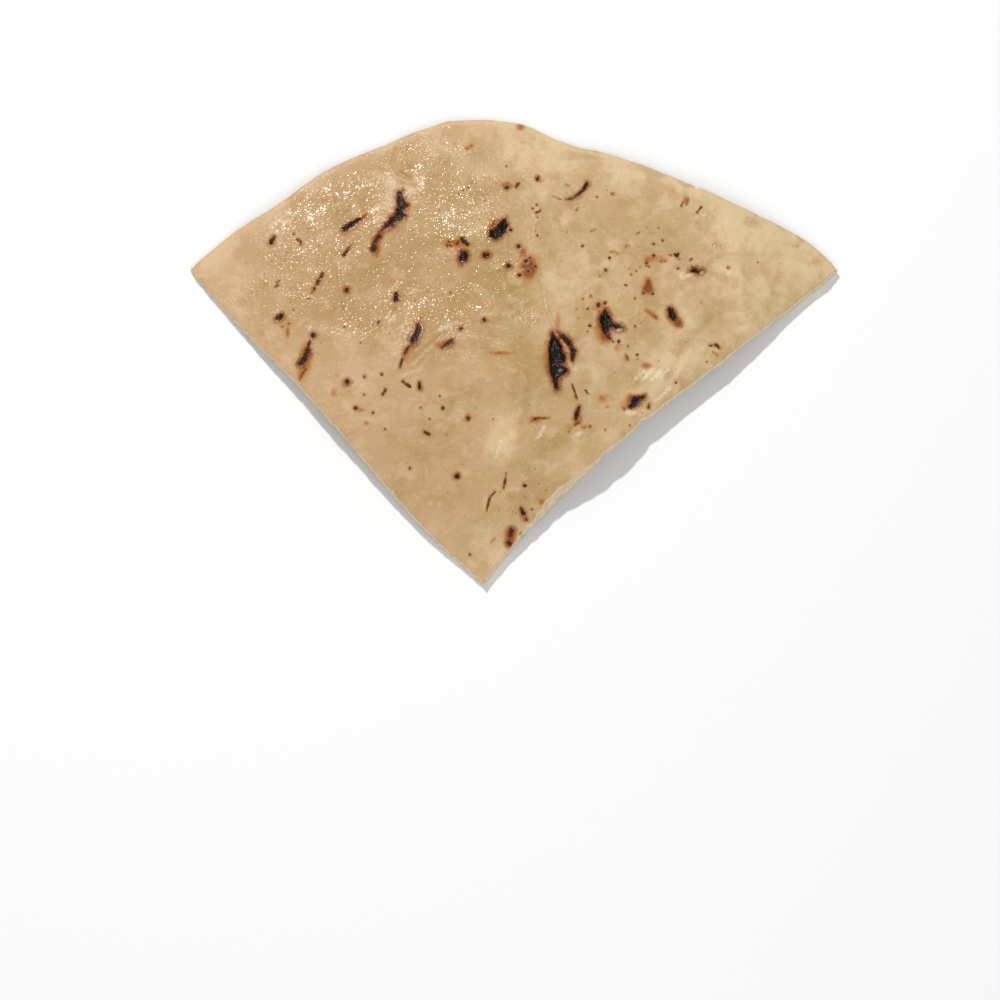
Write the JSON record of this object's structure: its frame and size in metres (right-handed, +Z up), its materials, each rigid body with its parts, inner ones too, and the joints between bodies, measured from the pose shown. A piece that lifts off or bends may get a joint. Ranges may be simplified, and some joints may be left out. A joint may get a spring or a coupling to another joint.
{
  "type": "naan bread slice",
  "caption": "Quarter-like slice of thin, butter-brushed oven-baked flatbread with a charred, blistered crust, lying crust side up.",
  "frame": {"origin": "on the table, under the centre of the slice's bounding box", "axes": "+Z up from the table, +Y from the cut tip to the baked rim, +X to the right, from one end of the rim to the other"},
  "size_m": [0.1944, 0.1418, 0.012],
  "materials": {
    "crust": "satin"
  },
  "bodies": {
    "root": {"naan_slice": "crust"}
  },
  "joints": []
}
